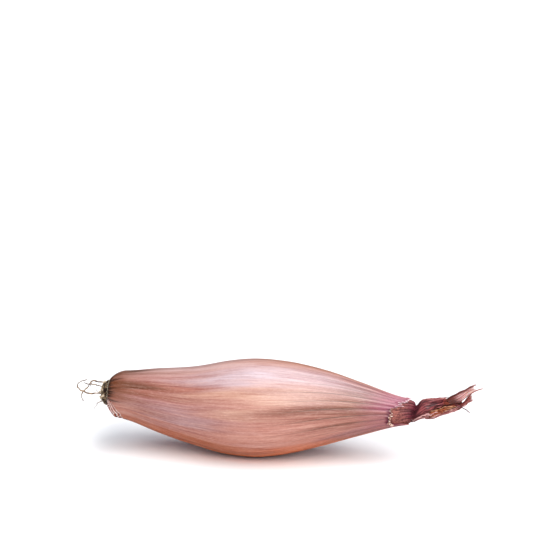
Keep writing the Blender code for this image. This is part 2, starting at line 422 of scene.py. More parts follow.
def girth_at(x):
    """The bulb's radius at a place along it, past its shoulder."""
    return BELLY_RADIUS * smooth_through(GIRTHS, (x - COLLAR_X) / SKIN_LENGTH)


def middle_at(x):
    """The height of the bulb's middle line at a place along it."""
    return BELLY_RADIUS * smooth_through(MIDDLE_LINE, (x - COLLAR_X) / SKIN_LENGTH)


def cross_section(angle):
    """The section's radius as a share of the bulb's, at an angle from the back over the top."""
    return 1 + OVAL * np.cos(2 * angle) - FLATTENING * np.sin(3 * angle)


def tear_x(turn):
    """Where the skin is torn off at a share of the way round, jags included."""
    line = smooth_through(TEAR_LINE, 360 * (turn % 1.0)) * MM
    jags = np.abs(waves(turn, 0.0, 11, (9, 40), 0.0)) - 0.6
    return TEAR_X + line - TEAR_JAGS * jags


def around(degrees, values, gain=0.0):
    """Stations (share of the way round, value), carried a turn on at both ends.

    The values grow by `gain` from one turn to the next.
    """
    share, value = np.array(degrees) / 360, np.array(values, float)
    places = np.concatenate([share - 1, share, share + 1])
    return list(zip(places, np.concatenate([value - gain, value, value + gain])))


def vein_drift(x):
    """How far round, as a share, the veins have wandered at a place since they left the neck."""
    return VEIN_DRIFT / 360 * ease(x, DRIFT_NECK, DRIFT_BELLY)


def vein_lead(turn, x):
    """How far the count of veins runs ahead of an even spacing, to be whole on each vein."""
    counts = around([degrees for degrees, _ in VEINS], np.arange(len(VEINS)), len(VEINS))
    return smooth_through(counts, turn - vein_drift(x)) - len(VEINS) * turn


def lumps(turn, x, jagged_tear, jagged_root):
    """Height of the skin's own relief in metres.

    It is the sum of soft flats, ribs along the veins that grow towards the neck, creases by the
    root, and the lift of the torn edge, which the curled front of the edge doesn't have.
    """
    along = (x - COLLAR_X) / SKIN_LENGTH
    soft = 0.07 * MM * waves(turn, along, 3, (3, 12), 0.9)
    ribs_share = ease(along, 0.45, 1.0) ** 1.6
    ribs = -0.075 * MM * ribs_share * np.cos(math.tau * (len(VEINS) * turn + vein_lead(turn, x)))
    pucker = np.abs(waves(turn, along * 0.3, 5, (10, 34), 1.0)) - 0.7
    creases = -0.18 * MM * pucker * ease(x - jagged_root, 6.5 * MM, 0.3 * MM)
    lifted = TEAR_FLARE * ease(turn, 0.62, 0.56) * ease(turn, 0.1, 0.2)
    return soft + ribs + creases + lifted * ease(jagged_tear - x, 1.8 * MM, 0.0)


# Broad zones of colour, each laid over the ones before it: (degrees from the back over the top, mm
# along, its spread in degrees and in mm, how strong it is, display colour). They are pigment except
# for the lilac bloom and its run towards the neck, which are a painted highlight.
GROUND_COLOUR = (184, 120, 104)
PIGMENT_ZONES = [
    (345, -10, 50, 36, 0.6, (176, 108, 84)),  # copper on the back
    (30, 24, 34, 24, 0.6, (206, 150, 136)),  # a paler pink streak behind the top
    (280, 0, 50, 80, 0.8, (204, 114, 76)),  # orange copper underneath
    (238, 4, 20, 40, 0.9, (252, 140, 82)),  # clear orange where it turns under
    (192, 4, 16, 22, 0.7, (204, 146, 130)),  # pink along the front of the belly
    (90, -20, 22, 60, 0.8, (212, 182, 178)),  # pale pink along the top
    (82, 22, 16, 20, 0.8, (206, 138, 104)),  # warm tan over the belly's top
    (126, 0, 22, 24, 0.9, (218, 206, 216)),  # a painted highlight, a lilac bloom on the upper front
    (116, 32, 18, 18, 0.7, (178, 154, 164)),  # and that painted highlight on towards the neck
    (114, 53, 24, 12, 0.82, (134, 84, 96)),  # purple there by the tear
    (144, -36, 27, 24, 0.72, (132, 66, 40)),  # brown on the upper front of the root half
    (124, -29, 10, 17, 0.32, (134, 66, 58)),  # a dull red streak above it
    (140, -35, 6, 14, 0.45, (206, 140, 124)),  # a paler streak in it
    (157, -25, 9, 16, 0.40, (118, 58, 48)),  # and a darker one
    (156, 2, 12, 18, 0.7, (212, 170, 146)),  # gold on the belly
    (158, 43, 25, 20, 0.88, (102, 50, 34)),  # brown towards the neck
    (152, 20, 22, 17, 0.42, (138, 72, 52)),  # tan between it and the gold
    (164, 33, 15, 18, 0.42, (116, 62, 34)),  # the deepest of the brown
    (182, -28, 15, 22, 0.85, (170, 130, 132)),  # grey lilac along the front of the root half
    (212, -18, 13, 24, 0.8, (168, 88, 54)),  # ochre under it
    (212, 44, 18, 16, 0.8, (158, 110, 112)),  # dusky pink towards the neck
    (180, 53, 34, 8, 0.6, (112, 60, 60)),  # darker there by the tear
    (132, 45, 17, 9, 0.65, (106, 62, 58)),  # and above
    (132, -51, 44, 13, 0.95, (92, 42, 8)),  # orange brown round the root end, above
    (20, -51, 60, 12, 0.85, (118, 60, 32)),  # and behind
    (92, -52, 20, 5, 0.75, (72, 44, 26)),  # darker brown over the upper corner
    (206, -51, 20, 7, 0.6, (196, 144, 126)),  # paler there low on the front
]


def laid_on(colour, share, tone):
    """The colours, each mixed with one display colour by its share."""
    return colour + (display(*tone) - colour) * share[..., None]


def pigment_and_painted_light(turn, x):
    """The skin's colour before its streaks, as linear red, green and blue.

    Each zone is mixed over the colour so far by its strength times a bell of the distance to its
    middle, in places that waver.
    """
    degrees = 360 * turn + 5.0 * waves(turn, x / (70 * MM), 14, (2, 14), 1.5)
    degrees = degrees + 2.5 * waves(turn, x / (60 * MM), 16, (20, 60), 1.0)
    place = x / MM + 5 * waves(turn, x / (60 * MM), 15, (3, 30), 1.0)
    colour = np.zeros(degrees.shape + (3,)) + display(*GROUND_COLOUR)
    for at_degrees, at_mm, wide, long, strength, tone in PIGMENT_ZONES:
        off = ((degrees - at_degrees + 180) % 360 - 180) / wide
        share = strength * np.exp(-(off**2) - ((place - at_mm) / long) ** 2)
        colour = laid_on(colour, share, tone)
    return colour


def outer_skin(finish):
    """The closed spindle of skin.

    Each row is a ring round the middle line. The rows run from a pole inside the root end, over
    the ragged rim, along a flattened quarter ellipse to the corner and the flanks to the tear,
    and back inside to the other pole. The corner lies nearer the rim below than above, wavers,
    and is bevelled straighter over the top and low down. Low round the root end the scales' torn
    edges step up out of the surface, square to it, by a sawtooth of the distance from the rim
    along the skin. Its pitch narrows away from SCALE_TURN, so the edges run slantwise to the rim.
    """
    turn = (np.arange(SKIN_COLUMNS) / SKIN_COLUMNS)[None, :]
    angle = math.tau * turn
    height = np.sin(angle)
    below = ease(-height, -0.4, 0.8)
    sharp = ease(np.abs(height), 0.70 - 0.25 * below, 0.96 - 0.06 * below)
    power = SOFT_CORNER + (SHARP_CORNER - SOFT_CORNER) * sharp * (0.6 + 0.4 * below)
    corner = UPPER_CORNER + (LOWER_CORNER - UPPER_CORNER) * below
    corner = corner + 0.018 * (1 - sharp) * ease(height, -0.5, 0.0)
    corner = corner * (1 + 0.07 * waves(turn, 0.0, 24, (2, 9), 0.5))

    # The rows' places as shares of the way, and the radius from the rim to the corner.
    quarter = np.linspace(0, math.pi / 2, CORNER_ROWS, endpoint=False)[:, None]
    even = np.linspace(0, 1, FLANK_ROWS)[:, None]
    flank = even - 0.7 * np.sin(math.tau * even) / math.tau
    rise = np.sin(quarter) ** power
    bevel = corner * (1 - np.cos(quarter) ** power)
    at = np.concatenate([bevel, corner + (1 - corner) * flank])
    tear = tear_x(turn)
    rim = COLLAR_X + ROOT_JAGS * (np.abs(waves(turn, 0.0, 21, (8, 44), 0.0)) - 0.6)
    x = COLLAR_X + SKIN_LENGTH * at
    x = x + (tear - TEAR_X) * ease(at, 0.84, 1.0) + (rim - COLLAR_X) * ease(at, LOWER_CORNER, 0.0)
    reach = girth_at(x)
    beyond = 0.002
    corner_girth = smooth_through(GIRTHS, corner)
    slope = (smooth_through(GIRTHS, corner + beyond) - corner_girth) / beyond
    swell = corner_girth - COLLAR_GIRTH - slope * corner
    reach[:CORNER_ROWS] = BELLY_RADIUS * (COLLAR_GIRTH + swell * rise + slope * bevel)
    relief_height = lumps(turn, x, tear, rim)

    # The stacked scales, sunk square to the surface by the way past each one's edge.
    forward, outward = SKIN_LENGTH * np.gradient(at, axis=0), np.gradient(reach, axis=0)
    run = np.hypot(forward, outward)
    gap = np.cumsum(run, axis=0) - run[:1]
    aside = np.abs(turn - SCALE_TURN)
    pitch = SCALE_PITCH * (0.25 + 0.75 * ease(aside, 0.25, 0.09))
    order = gap / pitch + 0.14 * waves(turn, gap / (5 * MM), 23, (3, 34), 0.8)
    stacked = ease(aside, 0.25, 0.17) * ease(order, SCALE_EDGES + 0.34, SCALE_EDGES + 0.20)
    past_edge = order - np.floor(order)
    sunk = SCALE_STEP * stacked * past_edge
    x = x + sunk * outward / run
    reach = reach * cross_section(angle) + relief_height - sunk * forward / run

    # The colour, with each scale rusty, painted shade in the crevice where it goes under the next,
    # and a torn white edge that carries a painted highlight.
    colour = pigment_and_painted_light(turn, x)
    torn_width = 0.27 + 0.08 * waves(turn, gap / (2 * MM), 25, (4, 30), 0.5)
    torn = np.exp(-((past_edge / torn_width) ** 4))
    crevice_shade = np.exp(-(((1 - past_edge) / 0.26) ** 2))
    colour = laid_on(colour, 0.97 * stacked, (160, 58, 22))
    colour = laid_on(colour, 0.95 * stacked * crevice_shade, (40, 14, 8))
    colour = laid_on(colour, stacked * torn, (255, 238, 230))

    # The rows inside both ends.
    inside_rim, inside_tear = np.array(RIM_INSIDE) * MM, np.array(TEAR_INSIDE) * MM
    ends = ((len(inside_rim), len(inside_tear)), (0, 0))
    x = np.concatenate([x[0] + inside_rim[:, :1], x, x[-1] - inside_tear[:, :1]])
    reach = np.concatenate([reach[0] - inside_rim[:, 1:], reach, reach[-1] - inside_tear[:, 1:]])
    colour = np.pad(colour, (*ends, (0, 0)), mode="edge")
    # The rows turned in under the root end's rim are painted dark, as shade.
    colour[: len(RIM_INSIDE) - 1] = display(44, 26, 18)
    middle = middle_at(x)
    y = reach * np.cos(angle)
    z = middle + reach * np.sin(angle)
    z = 0.5 * (z + np.sqrt(z**2 + (0.15 * MM) ** 2))  # eased flat where it meets the table
    rings = np.stack([x, y, z], axis=2)
    poles = [
        (x[0].mean() + 0.3 * MM, 0, middle[0].mean()),
        (x[-1].mean() - MM, 0, middle[-1].mean()),
    ]

    vein_degrees, vein_strengths = zip(*VEINS)
    spacing = math.tau * reach / len(VEINS)
    half_line = 0.14 * MM + 0.002 * reach
    grain = np.broadcast_arrays(np.cos(angle), np.sin(angle), x / BELLY_RADIUS)
    marks = {
        "grain_place": np.stack(grain, axis=-1),
        "pigment_and_painted_light": colour,
        "vein_lead": vein_lead(turn, x),
        "vein_width": half_line / spacing,
        "vein_strength": smooth_through(
            around(vein_degrees, vein_strengths), (turn - vein_drift(x)) % 1.0
        ),
        "tear_gap": np.maximum(tear - x, 0) / MM,
        "root_gap": np.abs(x - rim) / MM,
        "lip_side": ease(turn, 0.40, 0.45) * ease(turn, 0.63, 0.60),
        "top_side": ease(turn, 0.12, 0.26) * ease(turn, 0.47, 0.43),
        "rim_side": ease(-height, 0.22, -0.18),
        "stacked": np.pad(stacked, ends, mode="edge"),
    }
    return ring_solid("shallot_skin", rings, poles, marks, finish)


skin = outer_skin(skin_finish())
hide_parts("bulb")


# ---- The curled edge ------------------------------------------------------------------------
# Low on the front the torn skin has dried back on itself: a pale, brittle, crumpled roll along
# the edge of the tear, still part of the skin.

ROLL_START, ROLL_END = 0.405, 0.594  # shares of the way round
SMALL_ROLL, LARGE_ROLL = 0.22 * MM, 0.39 * MM  # its radius high and low on the front
ROLL_WALL = 0.12 * MM
ROLL_TURN = math.radians(250)


def skin_point(turn, x):
    """Points on the skin's own surface, at shares of the way round and places along it."""
    angle = math.tau * turn
    reach = girth_at(x) * cross_section(angle) + lumps(turn, x, tear_x(turn), COLLAR_X)
    y, z = reach * np.cos(angle), middle_at(x) + reach * np.sin(angle)
    return np.stack(np.broadcast_arrays(x, y, z), axis=-1)


def shell_solid(name, outer, inner, marks, finish):
    """A closed thin body between two grids (rows, columns, xyz) that are joined at their borders.

    The outer grid faces the way of (across) x (down). Marks are spread as on a ring solid.
    """
    rows, columns = outer.shape[:2]
    count = rows * columns
    faces, corner_uv = grid_faces(rows, columns, False)
    top, left = np.arange(columns), np.arange(rows) * columns
    bottom, right = (rows - 1) * columns + top, left + columns - 1
    border = np.concatenate([top, right[1:], bottom[::-1][1:], left[::-1][1:]])
    side = np.stack([border[1:], border[:-1], border[:-1] + count, border[1:] + count], axis=1)
    grid_uv = np.meshgrid(np.linspace(0, 1, columns), np.linspace(0, 1, rows))
    side_uv = np.stack(grid_uv, axis=2).reshape(-1, 2)[side % count].reshape(-1, 2)
    inner_uv = corner_uv.reshape(-1, 4, 2)[:, ::-1].reshape(-1, 2)
    spread = {mark: np.broadcast_to(values, (rows, columns)) for mark, values in marks.items()}
    return add_piece(
        name,
        np.concatenate([outer.reshape(-1, 3), inner.reshape(-1, 3)]),
        np.concatenate([faces, faces[:, ::-1] + count, side]).tolist(),
        np.concatenate([corner_uv, inner_uv, side_uv]),
        {mark: np.tile(values.ravel(), 2) for mark, values in spread.items()},
        finish,
    )


def curled_edge(finish):
    """A sheet that leaves the torn edge forwards and rolls outwards and back over the skin.

    At a share `turn` of the way round, the roll is an arc about a centre one roll radius off the
    edge. The radius grows from the small to the large one on the way down the front, crumples,
    and shrinks to almost nothing at both ends.
    """
    turn = np.linspace(ROLL_START, ROLL_END, 150)[None, :]
    arc = np.linspace(0, ROLL_TURN, 30)[:, None]
    edge = skin_point(turn, tear_x(turn) - 0.05 * MM)
    size = ease(turn, ROLL_START, 0.425) * ease(turn, ROLL_END, 0.580)
    crumple = 0.30 * waves(turn, arc / 9, 31, (12, 60), 1.0)
    crumple = crumple + 0.13 * waves(turn, arc / 3, 32, (60, 140), 2.0)
    radius = SMALL_ROLL + (LARGE_ROLL - SMALL_ROLL) * ease(turn, 0.45, 0.545)
    radius = np.maximum(radius * (0.2 + 0.8 * size) * (1 + crumple), 0.08 * MM)
    outward = np.stack([0 * turn, np.cos(math.tau * turn), np.sin(math.tau * turn)], axis=-1)
    centre = edge + radius[..., None] * outward
    spoke = np.sin(arc)[..., None] * np.array([1.0, 0.0, 0.0]) - np.cos(arc)[..., None] * outward
    inner = centre + radius[..., None] * spoke
    outer = centre + np.maximum(radius - ROLL_WALL, 0.03 * MM)[..., None] * spoke
    marks = {"pale": size * ease(arc, 0.1, 1.2)}
    return shell_solid("curled_edge", outer, inner, marks, finish)


def curled_finish():
    """Brittle dry skin, bleached almost white where it rolls, with brown crumbs."""
    finish, tree = new_finish("curled_skin", {"Roughness": 0.6, "Specular IOR Level": 0.4})
    place = step(tree, "TexCoord", out="Object")
    crumbs = noise(tree, place, 1900.0, 3.0, 0.6)
    colour = tint(tree, fade(tree, crumbs, 0.42, 0.62), (158, 104, 88), (238, 218, 204))
    colour = tint(tree, mark_fade(tree, "pale", 0.6, 0.0, 0.0, 0.85), colour, (150, 70, 84))
    return joined(finish, colour, relief(tree, crumbs, 0.00010))


edge_roll = curled_edge(curled_finish())


# ---- The dry neck ---------------------------------------------------------------------------
# The inner skin comes out of the tear as a cone and is pinched shut where the leaves fell over.
# Past that deep crease it goes on as a twisted, flattened bundle of dead leaf sheaths.

# Rings of the core, in mm: its place, the height of its middle, half its height, half its depth,
# and how far forward of its middle a ring's top stands, as a share of its rise.
NECK_RINGS = np.array([
    (45.0, 18.2, 5.6, 5.6, 0.0),
    (49.0, 18.25, 5.9, 5.9, 0.0),
    (52.0, 18.25, 5.25, 5.2, 0.08),
    (54.5, 18.2, 4.75, 4.5, 0.2),
    (56.4, 18.0, 4.25, 3.8, 0.33),
    (57.7, 17.65, 3.8, 3.0, 0.38),
    (59.0, 18.2, 3.2, 2.5, 0.3),
    (60.3, 19.0, 3.15, 2.35, 0.15),
    (61.8, 19.5, 3.05, 2.3, 0.0),
    (64.3, 19.85, 3.1, 2.1, -0.15),
    (67.0, 20.5, 2.45, 1.7, -0.2),
    (70.5, 21.3, 2.0, 1.2, -0.25),
    (73.5, 21.9, 1.35, 0.7, -0.3),
    (75.2, 22.4, 0.7, 0.35, -0.3),
])
CREASE_X = 57.8 * MM
CREASE_DEPTH = 0.75 * MM
CREASE_WIDTH = 0.50 * MM


def on_neck(x, angle, lift):
    """Points `lift` off the neck's core, at places and at angles from the back over the top."""
    middle, half_height, half_depth, lean = (
        smooth_through(NECK_RINGS[:, [0, column]], x / MM) for column in (1, 2, 3, 4)
    )
    up = (half_height * MM + lift) * np.sin(angle)
    side = (half_depth * MM + lift) * np.cos(angle)
    return np.stack(np.broadcast_arrays(x + lean * up, side, middle * MM + up), axis=-1)


def neck_core(finish):
    """The cone and the bundle as one tube, folded lengthwise, with a sharp crease round it.

    The folds are where a wavering height crosses nothing; past the crease they twist backwards
    over the top. Their depth grows towards the crease and stays in the bundle.
    """
    turn = (np.arange(200) / 200)[None, :]
    high = np.sin(math.tau * turn)
    cone = np.linspace(45, 56.5, 56, endpoint=False)
    crease_rows = np.linspace(56.5, 60, 50, endpoint=False)
    x = np.concatenate([cone, crease_rows, np.linspace(60, 75.2, 110)])[:, None] * MM
    twist = -0.33 * ease(x, CREASE_X, 70 * MM) - 0.05 * ease(x, 50 * MM, CREASE_X)
    height = np.abs(waves(turn - twist, x / (60 * MM), 41, (4, 15), 1.0))
    fine = np.abs(waves(turn - twist, x / (40 * MM), 42, (14, 44), 1.0))
    depth = ease(x, 49 * MM, 57 * MM)
    fold = -(0.10 + 0.42 * depth) * MM * (1 - np.minimum(height, 1)) ** 2
    fold -= (0.06 + 0.14 * depth) * MM * (1 - np.minimum(fine, 1)) ** 2
    pinched = ease(high, -0.85, -0.2)
    crease = -CREASE_DEPTH * pinched * np.exp(-(((x - CREASE_X) / CREASE_WIDTH) ** 2))
    rings = on_neck(x, math.tau * turn, fold + crease)
    purpled = ease(x, 52.0 * MM, 57.0 * MM) * ease(x, 61 * MM, 59 * MM) * ease(high, -0.8, 0.2)
    marks = {
        "fold": fold / (0.5 * MM),
        "crease_shade": np.exp(-(((x - CREASE_X) / (1.0 * MM)) ** 2)) * (0.35 + 0.65 * pinched),
        "purpled": 0.8 * purpled,
        "bundle": ease(x, 56.5 * MM, 59.5 * MM),
    }
    return ring_solid("neck_core", rings, [rings[0].mean(0), rings[-1].mean(0)], marks, finish)


def neck_finish():
    """Inner skin: mottled brown red, purple at the crease, orange brown in the bundle, painted
    shade in hollows.
    """
    finish, tree = new_finish("inner_skin", {"Specular IOR Level": 0.45})
    uv = step(tree, "UVMap", uv_map="lie")
    place = step(tree, "TexCoord", out="Object")
    mottle = noise(tree, place, 1500.0, 3.0, 0.65)
    fibres = noise(tree, uv, (70.0, 14.0, 1.0), 3.0, 0.6)
    colour = tint(tree, fade(tree, mottle, 0.38, 0.62), (106, 48, 46), (164, 96, 84))
    # The near-black end of the bundle's fibre mix is painted shade, for the gaps between the
    # sheaths.
    bundle = tint(tree, fade(tree, fibres, 0.40, 0.60), (56, 12, 14), (150, 66, 42))
    colour = tint(tree, mark_value(tree, "bundle"), colour, bundle)
    colour = tint(tree, mark_value(tree, "purpled"), colour, (112, 28, 50))
    # Painted shade in the crease, deepest where it is pinched.
    crease_shade = times(tree, mark_value(tree, "crease_shade"), 0.65)
    colour = tint(tree, crease_shade, colour, (80, 18, 40))
    # Painted shade in the folds.
    colour = tint(tree, mark_fade(tree, "fold", -0.2, -1.0, 0.0, 0.75), colour, (56, 18, 24))
    bumps = relief(tree, fibres, 0.00012, relief(tree, mottle, 0.00010))
    return joined(finish, colour, bumps, fade(tree, mottle, 0.3, 0.7, 0.5, 0.66))


core = neck_core(neck_finish())
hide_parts("dry_neck")


# ---- The wrapped sheaths --------------------------------------------------------------------
# Thin dead leaf bases wound round the core. Each is a curved sheet of its own colour that comes
# out of the crease, runs up the bundle with its edges lifted, and ends in a ragged tear.

SHEATH_WALL = 0.20 * MM


def wound_sheath(name, start, end, back_edge, front_edge, lift, seed, finish, ruffle, curl):
    """A sheet lying on the neck between two edge angles, each given at places in mm as degrees.

    It rises off the core by `lift` mm within 0.9 mm of its start, its side edges curl outwards
    with the sixth power of the way to them, and it is ruffled by lengthwise waves.
    """
    u = np.linspace(0, 1, 70)[None, :]
    v = np.linspace(0, 1, 110)[:, None]
    ragged = 0.9 * waves(u * 0.8, 0.0, seed, (2, 16), 0.0)
    place = start + (end + ragged - start) * v
    low = smooth_through(back_edge, place)
    high = smooth_through(front_edge, place)
    wander = 5 * waves(0.0, v * 2, seed + 1, (0, 1), 3.0)
    to_edge = 2 * u - 1
    angle = np.radians(low + (high - low) * u + wander * to_edge)
    folds = ruffle * waves(u * 0.9, v * 0.5, seed + 2, (2, 9), 1.5)
    folds = folds + 0.05 * waves(u * 0.9, v * 0.4, seed + 3, (12, 30), 1.0)
    rise = ease(place, start, start + 0.9)
    height = (-0.4 + rise * (lift + 0.4 + curl * np.abs(to_edge) ** 6 + folds)) * MM
    marks = {
        "fold": folds / 0.2,
        "rim": np.maximum(np.abs(to_edge) ** 10, ease(v, 0.93, 1.0)),
        "start": 1 - ease(place, start, start + 2.4),
    }
    outer, inner = (on_neck(place * MM, angle, h) for h in (height, height - SHEATH_WALL))
    return shell_solid(name, outer, inner, marks, finish)


def sheath_finish(name, deep, light, rim, roughness=0.5):
    """A dead leaf base: fine lengthwise veins between two tones, with a paler rim that is partly a
    painted highlight.

    It is painted darker in its folds, and dark purple where it comes out of the crease, both as
    shade.
    """
    finish, tree = new_finish(name, {"Roughness": roughness, "Specular IOR Level": 0.5})
    uv = step(tree, "UVMap", uv_map="lie")
    veins = noise(tree, uv, (24.0, 2.0, 1.0), 3.0, 0.65)
    blotch = noise(tree, uv, (5.0, 3.0, 1.0), 3.0, 0.6)
    colour = tint(tree, fade(tree, veins, 0.38, 0.62), deep, light)
    colour = tint(tree, fade(tree, blotch, 0.46, 0.66, 0.0, 0.6), colour, light)
    # Painted shade in the folds and where the sheath comes out of the crease, then a paler rim that
    # carries a painted highlight.
    colour = tint(tree, mark_fade(tree, "fold", -0.1, -1.1, 0.0, 0.85), colour, deep)
    colour = tint(tree, mark_fade(tree, "rim", 0.3, 1.0, 0.0, 0.9), colour, rim)
    colour = tint(tree, times(tree, mark_value(tree, "start"), 0.80), colour, (50, 10, 24))
    return joined(finish, colour, relief(tree, veins, 0.00014))


rosy = sheath_finish("rosy_sheath", (116, 44, 40), (200, 124, 112), (228, 176, 170))
pale = sheath_finish("pale_sheath", (104, 32, 38), (206, 140, 138), (240, 196, 190))
ochre = sheath_finish("ochre_sheath", (104, 34, 22), (190, 104, 64), (232, 184, 142))
purple = sheath_finish("purple_sheath", (52, 10, 22), (158, 78, 80), (152, 72, 66), 0.38)

sheaths = [
    wound_sheath(
        "back_sheath", 58.3, 72.0,
        [(58, -70), (64, -60), (72, -40)],
        [(58, 60), (64, 70), (72, 75)], 0.34, 51, rosy, 0.16, 0.38,
    ),
    wound_sheath(
        "rosy_sheath", 58.0, 74.5,
        [(57, 250), (60, 240), (63, 230), (67, 222), (71, 212), (75, 200)],
        [(57, 325), (63, 325), (70, 305), (75, 275)], 0.22, 61, rosy, 0.18, 0.38,
    ),
    wound_sheath(
        "bottom_strip", 61.5, 75.0,
        [(61, 246), (66, 232), (70, 224), (75, 206)],
        [(61, 268), (66, 258), (70, 250), (75, 238)], 0.46, 66, pale, 0.10, 0.30,
    ),
    wound_sheath(
        "ochre_sheath", 62.6, 70.4,
        [(62, 204), (64, 190), (67, 180), (71, 176)],
        [(62, 224), (64, 213), (67, 204), (71, 198)], 0.60, 71, ochre, 0.20, 0.38,
    ),
    wound_sheath(
        "low_strip", 58.5, 67.0,
        [(57, 230), (60, 222), (63, 214), (67, 207)],
        [(57, 242), (60, 234), (63, 225), (67, 216)], 0.34, 76, pale, 0.16, 0.32,
    ),
    wound_sheath(
        "middle_strip", 57.8, 64.6,
        [(57, 209), (60, 203), (62, 197), (66, 188)],
        [(57, 219), (60, 213), (62, 207), (66, 197)], 0.50, 79, pale, 0.20, 0.45,
    ),
    wound_sheath(
        "purple_sheath", 58.3, 69.3,
        [(58, 12), (62, 22), (66, 40), (70, 62), (72, 84)],
        [(58, 232), (60, 214), (61.5, 200), (64, 190), (67, 172), (70, 136), (72, 112)],
        0.45, 81, purple, 0.24, 0.38,
    ),
]


# ---- The leaf ends --------------------------------------------------------------------------
# Two torn strips of dead leaf that stand up out of the bundle's end. They are papery, pink and
# ribbed with fine veins; the upper one has a brown folded rim and two points.

STRIP_WALL = 0.16  # in mm


def leaf_end(name, root, rise_deg, edge_low, reach, root_depth, seed, finish):
    """A strip in a plane that faces front, laid out along a line rising at an angle.

    `edge_low` gives its width in mm below that line at places along it, `reach` its length in mm
    at shares of the way across from the top. It is bowed back at both edges, and ribbed.
    """
    across = np.linspace(1, 0, 60)[None, :]  # 0 is the top edge
    v = np.linspace(0, 1, 100)[:, None]
    length = smooth_through(reach, across) + 0.35 * waves(across * 0.9, 0.0, seed, (6, 24), 0.0)
    along = length * v
    down = smooth_through(edge_low, along) * across
    down = down + 0.10 * waves(across * 0.5, v * 2, seed + 1, (0, 2), 1.5)
    rise = math.radians(rise_deg)
    x = root[0] + along * math.cos(rise) + down * math.sin(rise)
    z = root[1] + along * math.sin(rise) - down * math.cos(rise)
    bow = 0.75 * (2 * across - 1) ** 2 + 0.22 * waves(across * 0.8, v * 0.7, seed + 2, (1, 5), 1.2)
    ribs = 0.035 * np.cos(math.tau * 9 * across)
    ribs = ribs + 0.03 * waves(across * 0.8, v * 0.3, seed + 3, (10, 26), 0.6)
    y = root_depth + bow * ease(v, -0.2, 0.5) - ribs
    wall = STRIP_WALL * (1 + 2.2 * ease(across, 0.14, 0.0)) * (1 - 0.6 * v)
    front, back = (
        np.stack(np.broadcast_arrays(x, y + side * wall / 2, z), axis=-1) * MM for side in (-1, 1)
    )
    marks = {"across": across, "tip": ease(v, 0.80, 1.0), "base": ease(v, 0.48, 0.16)}
    return shell_solid(name, front, back, marks, finish)


def leaf_finish(name, deep, light, rim):
    """Papery leaf: pale between fine darker veins, with brown edges and base and a bleached tip."""
    settings = {
        "Roughness": 0.5,
        "Specular IOR Level": 0.5,
        "Subsurface Weight": 0.25,
        "Subsurface Scale": 0.0006,
    }
    finish, tree = new_finish(name, settings)
    uv = step(tree, "UVMap", uv_map="lie")
    veins = noise(tree, uv, (30.0, 1.5, 1.0), 2.0, 0.6)
    colour = tint(tree, fade(tree, veins, 0.40, 0.60), deep, light)
    colour = tint(tree, mark_fade(tree, "across", 0.32, 0.08, 0.0, 0.92), colour, rim)
    colour = tint(tree, mark_fade(tree, "across", 0.88, 1.0, 0.0, 0.4), colour, rim)
    colour = tint(tree, mark_fade(tree, "tip", 0.0, 1.0, 0.0, 0.35), colour, (214, 186, 180))
    colour = tint(tree, times(tree, mark_value(tree, "base"), 0.92), colour, rim)
    return joined(finish, colour, relief(tree, veins, 0.00012))


upper_leaf = leaf_end(
    "upper_leaf_end", (69.6, 24.2), 29.5,
    [(0, 2.6), (3.1, 3.6), (7.4, 2.8), (10.3, 2.6), (13.3, 3.1)],
    [(0, 11.4), (0.12, 11.1), (0.25, 9.7), (0.4, 10.1), (0.6, 10.5), (0.75, 11.1), (0.9, 12.5),
     (1.0, 13.4)],
    -0.9, 91, leaf_finish("veined_leaf", (158, 76, 74), (242, 208, 204), (88, 24, 10)),
)
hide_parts("neck_leaf_upper")

lower_leaf = leaf_end(
    "lower_leaf_end", (73.1, 20.5), 47,
    [(0, 0.7), (1.8, 1.3), (5.8, 1.9), (7.6, 1.9)],
    [(0, 7.6), (0.25, 7.0), (0.4, 7.3), (0.6, 6.2), (0.8, 6.5), (1.0, 5.9)],
    -1.1, 95, leaf_finish("brown_leaf", (116, 52, 52), (176, 106, 100), (108, 46, 42)),
)
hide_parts("neck_leaf_lower")


# ---- The threads ----------------------------------------------------------------------------
# Dry roots still hanging on the root plate, wiry, tan and kinked, and one loose fibre that has
# split off the end of the neck. Each grows thinner to its tip.

THREAD_SIDES = 9
ROWS_PER_SPAN = 14


def thread(name, points_mm, radius, tip_share, seed, finish, kink=0.10):
    """A round thread along a smooth line through its points, as one closed body.

    Two directions square to the line carry each of its rings; they come from the line's own
    direction and the Y axis, which no thread follows. The line kinks, and the radius, which goes
    down to tip_share of what it was, swells a little.
    """
    knots = np.array(points_mm, float)
    at = np.arange(len(knots))
    t = np.linspace(0, at[-1], at[-1] * ROWS_PER_SPAN + 1)
    share = t / t[-1]
    line = np.stack([smooth_through(np.stack([at, way], axis=1), t) for way in knots.T], axis=1)
    kinks = np.stack([waves(0.0, share, seed + k, (0, 1), 9.0, 8) for k in range(3)], axis=1)
    line = (line + kink * ease(share, 0, 0.15)[:, None] * kinks) * MM
    ahead = np.gradient(line, axis=0)
    ahead /= np.linalg.norm(ahead, axis=1, keepdims=True)
    right = np.cross(ahead, [0.0, 1.0, 0.0])
    right /= np.linalg.norm(right, axis=1, keepdims=True)
    upright = np.cross(ahead, right)
    angle = (math.tau * np.arange(THREAD_SIDES) / THREAD_SIDES)[None, :, None]
    swell = 1 + 0.14 * waves(0.0, share, seed + 7, (0, 1), 14.0, 8)
    size = radius * (1 + (tip_share - 1) * share) * swell
    ring = np.cos(angle) * right[:, None, :] + np.sin(angle) * upright[:, None, :]
    rings = line[:, None, :] + size[:, None, None] * ring
    poles = [line[0], line[-1] + 0.5 * (line[-1] - line[-2])]
    return ring_solid(name, rings, poles, {"far": share[:, None]}, finish)


